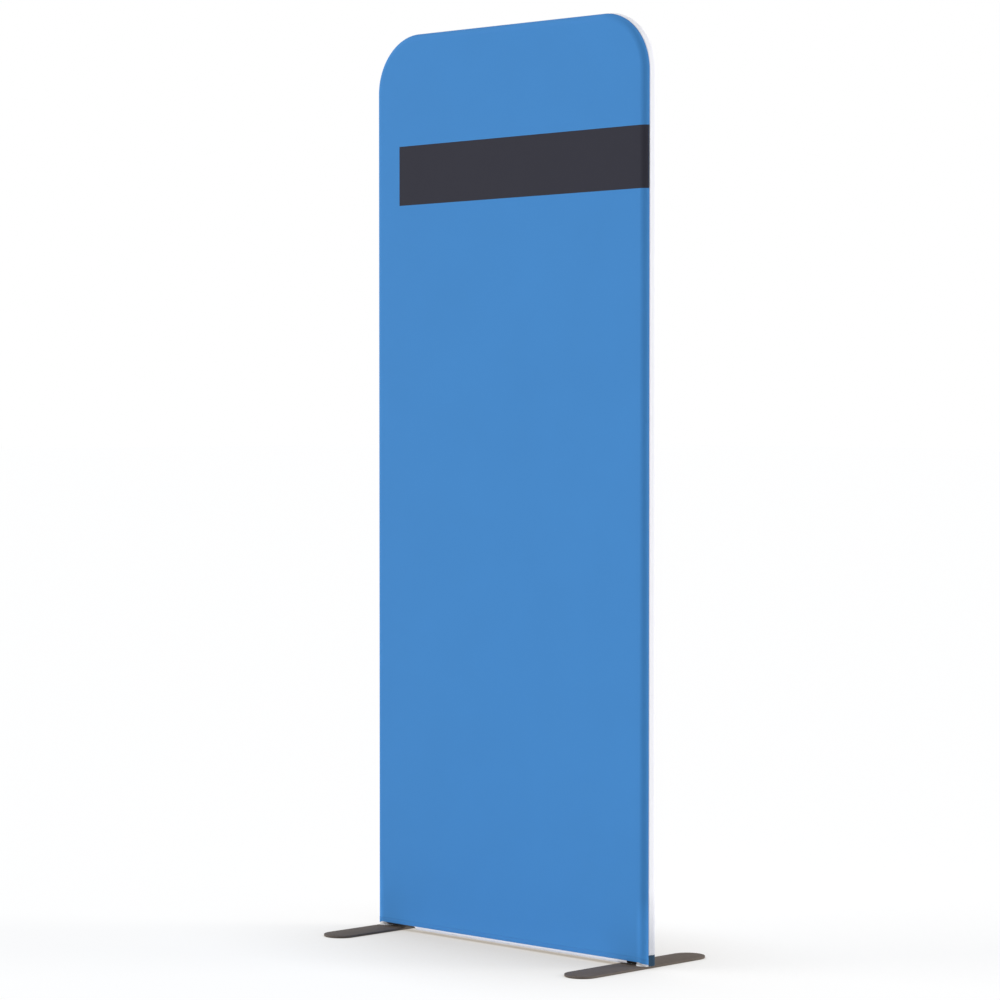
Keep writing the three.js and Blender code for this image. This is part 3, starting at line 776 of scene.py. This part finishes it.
def gusset_line(x):
    """The gusset's outer line in [y, z] at one place, from the front hem round to the zip."""
    wave = sum(math.sin(2 * math.pi * x / length + length * wave_shift) for length in wave_lengths)
    slack = fold_wave * (0.5 + wave / (2 * len(wave_lengths)))
    sag = slack * sag_share
    fold = gusset_fold - 2 * slack
    fold_z = gusset_foot + slack + fold
    drop = spread(front_edge, fold_z, drop_rows)[:-1]
    line = [(sag * smooth(i / 4) - cloth_radius, z) for i, z in enumerate(drop)]
    line += arc((sag - cloth_radius + fold, fold_z), fold, 180, 270, fold_rows)
    line += [(y, gusset_foot) for y in (-flat_half, 0, flat_half)]
    rise_z = gusset_foot + gusset_fold
    line += arc((cloth_radius - gusset_fold, rise_z), gusset_fold, 270, 360, fold_rows)
    return line + [(cloth_radius, z) for z in spread(rise_z, gusset_top, rise_rows)[1:]]


def grid_corners(rows, width):
    """The first corner of each face in a grid of points."""
    return [row * width + i for row in range(rows - 1) for i in range(width - 1)]


def ribbon(lines, thickness):
    """A closed strip from outlines of [y, z] points at places along X, with its thickness on the inside."""
    outer = []
    inner = []
    width = len(lines[0][1])
    for x, line in lines:
        spots = [Vector(spot) for spot in line]
        for i, spot in enumerate(spots):
            way = (spots[min(i + 1, width - 1)] - spots[max(i - 1, 0)]).normalized()
            outer.append((x, *spot))
            inner.append((x, *(spot + Vector((-way.y, way.x)) * thickness)))
    faces = [(a + 1, a + width + 1, a + width, a) for a in grid_corners(len(lines), width)]
    return thickened("ribbon", outer, inner, faces)


gusset_places = spread(gusset_left, gusset_right, gusset_columns)
gusset_mesh = ribbon([(x, gusset_line(x)) for x in gusset_places], cloth_thickness)
gusset = new_piece("gusset", gusset_mesh, white_knit, "white_cloth", crease=60)
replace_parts(gusset, "bottom_gusset")


# The seams' thread. Polyester lockstitch, blue on the front and white on the back: two rows through every
# hem and one beside each side seam. Each stitch lies half sunk in the cloth that it holds down.
stitch_pitch = 3.1 * mm
stitch_length = 2.5 * mm
thread_radius = 0.17 * mm
thread_proud = 0.05 * mm
thread_sides = 6
thread_twist = 9000
stitch_shape_shares = ((-0.5, 0.45), (-0.3, 1), (0.3, 1), (0.5, 0.45))
seam_row = 2.2 * mm
row_end_angle = 8


def thread(name, colour, low_tint, high_tint):
    material, shader, place = surface(name, colour, 0.55)
    # Painted shade: each thread is painted darker in the groove of each turn of its twist.
    twist = (place.axes()[0] * thread_twist).wave()
    feed(shader, Base_Color=twist.tint(low_tint, high_tint))
    return material


def sewn(name, spots, material, slot):
    """A row of stitches. Each spot is a stitch's middle, the way it runs and the way out of the cloth."""
    points = []
    faces = []
    for middle, along, outward in spots:
        aside = outward.cross(along)
        first = len(points)
        for share, girth in stitch_shape_shares:
            spot = middle + along * share * stitch_length
            for x, y in arc((0, 0), thread_radius * girth, 0, 360, thread_sides)[:-1]:
                points.append(spot + aside * x + outward * (y + thread_proud))
        last = len(points) - thread_sides
        for ring in range(first, last, thread_sides):
            for i in range(thread_sides):
                a = ring + i
                b = ring + (i + 1) % thread_sides
                faces.append((a, b, b + thread_sides, a + thread_sides))
        faces.append([first + i for i in reversed(range(thread_sides))])
        faces.append([last + i for i in range(thread_sides)])
    return new_piece(name, mesh_of(name, points, faces), material, slot)


def stitch(centre, outward, along, angle, lift, settle):
    """The spot of a stitch on the cloth, straight out from a place on a tube's axis."""
    ground = centre + outward * cloth_radius
    return settle(ground, outward, angle) + outward * lift(ground, angle), along, outward


def hem_spots(height, facing, low_x, high_x, lift, settle):
    """Stitches in one row along a hem, from low_x to high_x, measured round the tubes past the flat."""
    spots = []
    for i in range(math.floor((high_x - low_x) / stitch_pitch)):
        run = low_x + (i + 0.5) * stitch_pitch
        sign = 1 if run > 0 else -1
        bent = max(abs(run) - upright_x, 0) / cloth_radius
        angle = math.degrees(bent)
        centre = Vector((sign * min(abs(run), upright_x), 0, height))
        along = Vector((math.cos(bent), -sign * facing * math.sin(bent), 0))
        spots.append(stitch(centre, way_out(facing, sign, angle), along, angle, lift, settle))
    return spots


def seam_spots(bottom, facing, angle, lift, settle):
    """Stitches in one row beside the side seam, up one side, over the top and down the other."""
    arch = corner_radius + cloth_radius * math.sin(math.radians(angle))
    straight = arch_z - bottom
    quarter = arch * math.pi / 2
    spots = []
    for i in range(math.floor((straight + quarter + arch_x) / stitch_pitch)):
        run = (i + 0.5) * stitch_pitch
        if run < straight:
            x, z, lean = upright_x, bottom + run, 0
        elif run < straight + quarter:
            lean = (run - straight) / arch
            x, z = arc((arch_x, arch_z), corner_radius, math.degrees(lean), 360, 1)[0]
        else:
            x, z, lean = arch_x - (run - straight - quarter), bar_top_z, math.pi / 2
        for sign in sides.values():
            centre = Vector((sign * x, 0, z))
            along = Vector((-sign * math.sin(lean), 0, math.cos(lean)))
            spots.append(stitch(centre, way_out(facing, sign, angle, lean), along, angle, lift, settle))
    return spots


thread_white = thread("polyester_thread", (0.8, 0.81, 0.84), (0.7, 0.71, 0.74), (0.88, 0.89, 0.92))
thread_blue = thread("blue_thread", (0.07, 0.2, 0.45), (0.06, 0.18, 0.42), (0.09, 0.25, 0.53))
front_run = upright_x + cloth_radius * math.radians(front_last - row_end_angle)
back_run = upright_x + cloth_radius * math.radians(back_last - row_end_angle)
row_angle = math.degrees(seam_row / cloth_radius)
front_cloth = (front_lift, front_settle)
back_cloth = (back_lift, back_settle)
front_spots = seam_spots(front_hem + stitch_pitch, -1, front_last - row_angle, *front_cloth)
back_spots = seam_spots(back_hem + stitch_pitch, 1, back_last - row_angle, *back_cloth)
for row in stitch_rows:
    front_spots += hem_spots(front_hem + row, -1, -front_run, front_run, *front_cloth)
    for low_x, high_x, height in (
            (-back_run, gusset_left - 2 * side_gap, back_hem + row),
            (gusset_right + 2 * side_gap, back_run, back_hem + row),
            (gusset_left, gusset_right, flap_bottom + row * flap_hem / hem_height)):
        back_spots += hem_spots(height, 1, low_x, high_x, *back_cloth)
front_thread = sewn("front_stitching", front_spots, thread_blue, "blue_cloth")
back_thread = sewn("back_stitching", back_spots, thread_white, "white_cloth")


# The binding at the foot openings. An edging tape, sewn over the cover's raw corner under the back's
# hem. It wraps the foot of each upright from the front's side seam to the back. Its dark navy colour is a
# painted shade: it stands in for the shade inside each foot opening.
binding_low = 5.8 * mm
binding_high = 28.6 * mm
binding_end = 150
binding_out = 0.75 * mm
binding_thickness = 0.6 * mm
binding_rib = 0.8 * mm
binding_row_shares = ((0, 0.2), (0.06, 0), (0.12, 0), (0.5, 0), (0.88, 0), (0.94, 0), (1, 0.2))
binding_columns = 24
binding_angles = spread(seam_angle, binding_end, binding_columns)
binding_shade_paint, shader, place = surface("painted_dark_binding", (0.026, 0.058, 0.1), 0.85, gloss=0.15)
# Painted shade: the tape is dark navy for the shade in the foot opening, and darker still in the grooves of
# its ribs.
rib = (place.axes()[2] * (2 * math.pi / binding_rib)).wave()
feed(shader,
     Base_Color=rib.tint((0.020, 0.045, 0.078), (0.033, 0.075, 0.13)),
     Normal=rib.relief(0.08 * mm))


def binding_points(sign, sunk):
    """The points of a binding's outside, or of its inside if sunk is 1. Both draw together at its edges."""
    points = []
    for share, tuck in binding_row_shares:
        for angle in binding_angles:
            bent = math.radians(angle)
            radius = tube_radius + binding_out + fullness(180 - angle) - abs(sunk - tuck) * binding_thickness
            points.append((sign * (upright_x + radius * math.sin(bent)), -radius * math.cos(bent),
                           binding_low + (binding_high - binding_low) * share))
    return points


for side, sign in sides.items():
    width = len(binding_angles)
    corners = grid_corners(len(binding_row_shares), width)
    faces = [(a, a + 1, a + width + 1, a + width)[::sign] for a in corners]
    mesh = thickened("binding", binding_points(sign, 0), binding_points(sign, 1), faces)
    new_piece(f"{side}_binding", mesh, binding_shade_paint, "blue_cloth")


# The zip's tapes. Woven white polyester, sewn behind the back's flap and to the gusset. Each has a corded
# edge that carries its teeth, and the ribs of the weave run along it.
zip_sides = {"upper": 1, "lower": -1}
tape_bead = 0.55 * mm
tape_columns = 60
tape_rows = 12
tape_rib = 0.7 * mm
chevron_reach = 1.2 * mm
chevrons_per_metre = 1100


def joined(name, *meshes):
    points = []
    faces = []
    for mesh in meshes:
        first = len(points)
        points += [vertex.co.copy() for vertex in mesh.vertices]
        faces += [[first + i for i in face.vertices] for face in mesh.polygons]
    return mesh_of(name, points, faces)


tape_weave, shader, place = surface("zip_tape_weave", (0.72, 0.73, 0.76), 0.8)
x, y, z = place.axes()
slant = x + ((z * chevrons_per_metre).share() - 0.5).size() * chevron_reach
# Painted shade: the weave is painted darker in the grooves between its ribs.
rib = (slant * (2 * math.pi / tape_rib)).wave()
feed(shader,
     Base_Color=rib.tint((0.60, 0.61, 0.64), (0.78, 0.79, 0.82)),
     Normal=rib.relief(0.08 * mm))
for level, way in zip_sides.items():
    low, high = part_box(f"{level}_zip_tape")
    line = [(high.y, z) for z in spread(low.z, high.z, tape_rows)]
    tape = ribbon([(x, line) for x in spread(low.x, high.x, tape_columns)], high.y - low.y)
    bead_z = (low.z if way > 0 else high.z) + way * tape_bead
    bead = moved(rod(tape_bead, low.x, high.x, count=16), right, up, (0, (low.y + high.y) / 2, bead_z))
    tape = new_piece(f"{level}_tape", joined("tape", tape, bead), tape_weave, "zip_tape")
    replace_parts(tape, f"{level}_zip_tape")


# The zip's teeth. Moulded grey acetal, one by one on the tapes' corded edges. The rows are half a pitch out
# of step, with a clear line between them that the slider's neck runs in.
tooth_pitch = 2.6 * mm
tooth_reach = 0.22 * mm
tooth_shape_shares = ((-0.34, 0), (0.34, 0), (0.34, 0.4), (0.2, 0.58), (0.36, 0.78), (0.28, 1),
                      (-0.28, 1), (-0.36, 0.78), (-0.2, 0.58), (-0.34, 0.4))
tooth_ease = 0.22 * mm
tooth_start_shares = {"upper": 0.75, "lower": 0.25}


def repeated(name, mesh, places):
    """One mesh that holds a copy of another at each place."""
    points = [vertex.co + place for place in places for vertex in mesh.vertices]
    count = len(mesh.vertices)
    faces = [[k * count + i for i in face.vertices] for k in range(len(places)) for face in mesh.polygons]
    return mesh_of(name, points, faces)


acetal, shader, place = surface("grey_acetal", (0.5, 0.48, 0.47), 0.4)
feed(shader,
     Base_Color=place.grain(900).tint((0.44, 0.42, 0.41), (0.56, 0.54, 0.53)),
     Roughness=place.grain(2400) * 0.2 + 0.3)
for level, way in zip_sides.items():
    low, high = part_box(f"{level}_zip_teeth")
    depth = high.y - low.y
    reach = high.z - low.z + tooth_reach
    outline = [(across * tooth_pitch, rise * reach) for across, rise in tooth_shape_shares]
    tooth = slab(outline, depth, tooth_ease, steps=1)
    foot_z = high.z if way > 0 else low.z
    moved(tooth, way * back, right, (0, (low.y + high.y) / 2, foot_z))
    count = math.floor((high.x - low.x) / tooth_pitch)
    start = low.x + tooth_pitch * tooth_start_shares[level]
    teeth = repeated("teeth", tooth, [Vector((start + i * tooth_pitch, 0, 0)) for i in range(count)])
    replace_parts(new_piece(f"{level}_teeth", teeth, acetal, "zip_teeth"), f"{level}_zip_teeth")


# The zip's slider and puller. Die cast zinc, nickel plated. The slider's two shields hold the rows of teeth
# between them, and the puller hangs on the slider's bridge by the bar at its end.
shield = 1.1 * mm
cast_ease = 0.3 * mm
cheek_round = 1.2 * mm
rim_depth = 0.55 * mm
rim_width = 0.8 * mm
rim_ease = 0.1 * mm
neck_length = 4 * mm
neck_width = 0.8 * mm
neck_ease = 0.05 * mm
corner_round = 0.3 * mm
bridge_length = 9.2 * mm
bridge_width = 1.8 * mm
bridge_leg = 1.2 * mm
bridge_opening = 1.9 * mm
bridge_metal = 1 * mm
bridge_ease = 0.2 * mm
bend_out = 1.6 * mm
bend_in = 0.7 * mm
plated, shader, place = surface("plated_zinc_casting", (0.55, 0.55, 0.54), 0.25, metallic=1.0)
rub = place.grain(700, 3.0)
feed(shader,
     Base_Color=rub.tint((0.46, 0.46, 0.45), (0.64, 0.64, 0.62)),
     Roughness=rub * 0.22 + 0.15)


def rounded(low_x, high_x, width, radius, steps=6):
    """A rectangle along X with round corners, as [x, y] points."""
    out_y = width / 2 - radius
    corners = ((high_x - radius, out_y), (low_x + radius, out_y),
               (low_x + radius, -out_y), (high_x - radius, -out_y))
    return [point for i, corner in enumerate(corners)
            for point in arc(corner, radius, 90 * i, 90 * i + 90, steps)]


low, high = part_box("zip_slider")
slider_x = (low.x + high.x) / 2
half_length = (high.x - low.x) / 2
half_width = (high.z - low.z) / 2
face_y = high.y - bridge_opening - bridge_metal
shoulder = half_length * 0.45
waist = half_width * 0.72
nose = half_width * 0.6
cheek_x = half_length - half_width * 0.9
shield_outline = [
    *arc((half_length - nose, 0), nose, -60, 60, 8),
    *arc((cheek_x, half_width - cheek_round), cheek_round, 45, 90, 3),
    (-half_length + shoulder, half_width), (-half_length, waist),
    (-half_length, -waist), (-half_length + shoulder, -half_width),
    *arc((cheek_x, -half_width + cheek_round), cheek_round, 270, 315, 3),
]
rim_outline = rounded(-half_length * 0.6, half_length * 0.4, rim_width, corner_round)
shields = []
for inner_y in (face_y - shield, low.y):
    plate = slab(shield_outline, shield, cast_ease, steps=2)
    shields.append(moved(plate, back, right, (slider_x, inner_y + shield / 2, zip_height)))
    for way in (1, -1):
        rim_z = zip_height + way * (half_width - rim_width / 2 - cast_ease)
        inward = -rim_depth / 2 if inner_y > low.y else shield + rim_depth / 2
        rim = slab(rim_outline, rim_depth + 2 * cast_ease, rim_ease, steps=1)
        shields.append(moved(rim, back, right, (slider_x, inner_y + inward, rim_z)))
neck_outline = rounded(-neck_length / 2, neck_length / 2, neck_width, corner_round)
neck = slab(neck_outline, face_y - low.y - shield, neck_ease, steps=1)
moved(neck, back, right, (slider_x, (low.y + face_y) / 2, zip_height))
bridge_top = high.y - face_y
leg_x = bridge_length / 2
bridge_outline = [
    (leg_x, -shield / 2),
    *arc((leg_x - bend_out, bridge_top - bend_out), bend_out, 0, 90, 6),
    *arc((-leg_x + bend_out, bridge_top - bend_out), bend_out, 90, 180, 6),
    (-leg_x, -shield / 2), (-leg_x + bridge_leg, -shield / 2),
    *arc((-leg_x + bridge_leg + bend_in, bridge_opening - bend_in), bend_in, 180, 90, 5),
    *arc((leg_x - bridge_leg - bend_in, bridge_opening - bend_in), bend_in, 90, 0, 5),
    (leg_x - bridge_leg, -shield / 2),
]
bridge = slab(bridge_outline, bridge_width, bridge_ease, steps=2)
moved(bridge, up, right, (slider_x, face_y, zip_height))
slider = new_piece("slider", joined("slider", *shields, neck, bridge), plated, "slider_metal", "zip_slider")
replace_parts(slider, "zip_slider")

puller_ease = 0.35 * mm
puller_taper = 2 * mm
window_length = 4.8 * mm
window_width = 2.6 * mm
window_round = 0.4 * mm
puller_bar = 1.2 * mm
bar_chamfer = 1 * mm
grip_width = 3.4 * mm
grip_length = 9 * mm
grip_round = 1.2 * mm
low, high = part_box("zip_puller")
half = (high.z - low.z) / 2
bar_half = half * 0.72
window_x = high.x - puller_bar - window_length
tab = [
    *arc((low.x + half, 0), half, 110, 250, 14),
    (window_x - puller_taper, -half), (window_x, -bar_half), (high.x - bar_chamfer, -bar_half),
    (high.x, -bar_half + bar_chamfer), (high.x, bar_half - bar_chamfer), (high.x - bar_chamfer, bar_half),
    (window_x, bar_half), (window_x - puller_taper, half),
]
window = rounded(window_x, high.x - puller_bar, window_width, window_round)
grip_x = low.x + half
grip = rounded(grip_x, grip_x + grip_length, grip_width, grip_round)
puller = slab(tab[::-1], high.y - low.y, puller_ease, holes=[window[::-1], grip[::-1]])
moved(puller, -back, right, (0, (low.y + high.y) / 2, zip_height))
puller = new_piece("puller", puller, plated, "slider_metal", "zip_puller")
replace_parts(puller, "zip_puller")


# The cloth as it was cut. The flat sizes are the girths between the seams, before the cover is pulled over
# the frame, with the two top corners of each panel cut round.
def declare_panel(last, bottom):
    girth = cloth_radius * math.radians(last)
    flat = (2 * (upright_x + girth), bar_top_z - bottom + girth)
    corner_cut = (2 - math.pi / 2) * (corner_radius + girth) ** 2
    flat[0] * flat[1] - corner_cut


declare_panel(front_last, front_hem)
declare_panel(back_last, back_hem)
gusset_cut = sum(math.dist(a, b) for a, b in zip(gusset_line(0), gusset_line(0)[1:]))


# The studio. A pale floor that fades into a white background, a soft sky that is brighter on the left and
# low down, a wide soft key light from the left and a low one from behind on the right. The camera is the
# photograph's.
lens = 121.17
sensor_width = 36
view_reach = 200
camera_place = (5.1418, -5.1748, 1.1914)
camera_tilt = 90 - 1.719
camera_turn = 45
camera = placed("camera", bpy.data.cameras.new("camera"))
camera.data.lens = lens
camera.data.sensor_width = sensor_width
camera.data.clip_end = view_reach
camera.location = camera_place
camera.rotation_euler = (math.radians(camera_tilt), 0, math.radians(camera_turn))
bpy.context.scene.camera = camera

floor_reach = 60
floor_albedo = (0.85, 0.845, 0.84)
floor_shown = (0.22, 0.205, 0.185)
floor_glow = (0.805, 0.82, 0.84)
shadow_glow = (0.26, 0.215, 0.16)
shadow_reach = 0.5
floor_paint, shader, place = surface("studio_floor", floor_albedo, 0.95, gloss=0.0)
paths = place.node("ShaderNodeLightPath")
seen = place.maths("MAXIMUM", paths[0], paths[3])
closeness = place.node("ShaderNodeAmbientOcclusion", {"samples": 16}, Distance=shadow_reach)
shader.inputs["Emission Strength"].default_value = 1
feed(shader,
     Base_Color=seen.tint(floor_albedo, floor_shown),
     Emission_Color=seen.tint((0, 0, 0), closeness[1].tint(shadow_glow, floor_glow)))
corners = [(x * floor_reach, y * floor_reach, 0) for x, y in ((-1, -1), (1, -1), (1, 1), (-1, 1))]
floor_mesh = mesh_of("floor", corners, [(0, 1, 2, 3)])
floor_mesh.materials.append(floor_paint)
floor = placed("floor", floor_mesh)

left_level = 0.92
right_level = 0.50
zenith_level = 0.35
world = bpy.data.worlds.new("studio")
world.use_nodes = True
bpy.context.scene.world = world
sky = world.node_tree.nodes["Background"]
start = Socket(world.node_tree, None)
paths = start.node("ShaderNodeLightPath")
seen = start.maths("MAXIMUM", start.maths("MAXIMUM", paths[0], paths[3]), paths[6])
way = start.node("ShaderNodeTexCoord")[0]
toward_right, _, toward_top = way.axes()
walls = (toward_right * 0.5 + 0.5).tint((left_level,) * 3, (right_level,) * 3)
dome = toward_top.tint(walls, (zenith_level,) * 3)
feed(sky, Color=seen.tint(dome, (1, 1, 1)))

for name, around, height, level, softness in (
        ("key_light", -47, 26, 0.54, 38),
        ("rim_light", 132, 13, 0.69, 20)):
    sun = placed(name, bpy.data.lights.new(name, "SUN"))
    sun.data.energy = level * math.pi
    sun.data.angle = math.radians(softness)
    around = math.radians(around)
    height = math.radians(height)
    toward = Vector((math.sin(around) * math.cos(height), -math.cos(around) * math.cos(height),
                     math.sin(height)))
    sun.rotation_mode = "QUATERNION"
    sun.rotation_quaternion = toward.to_track_quat("Z", "Y")

bpy.context.scene.view_settings.view_transform = "Standard"
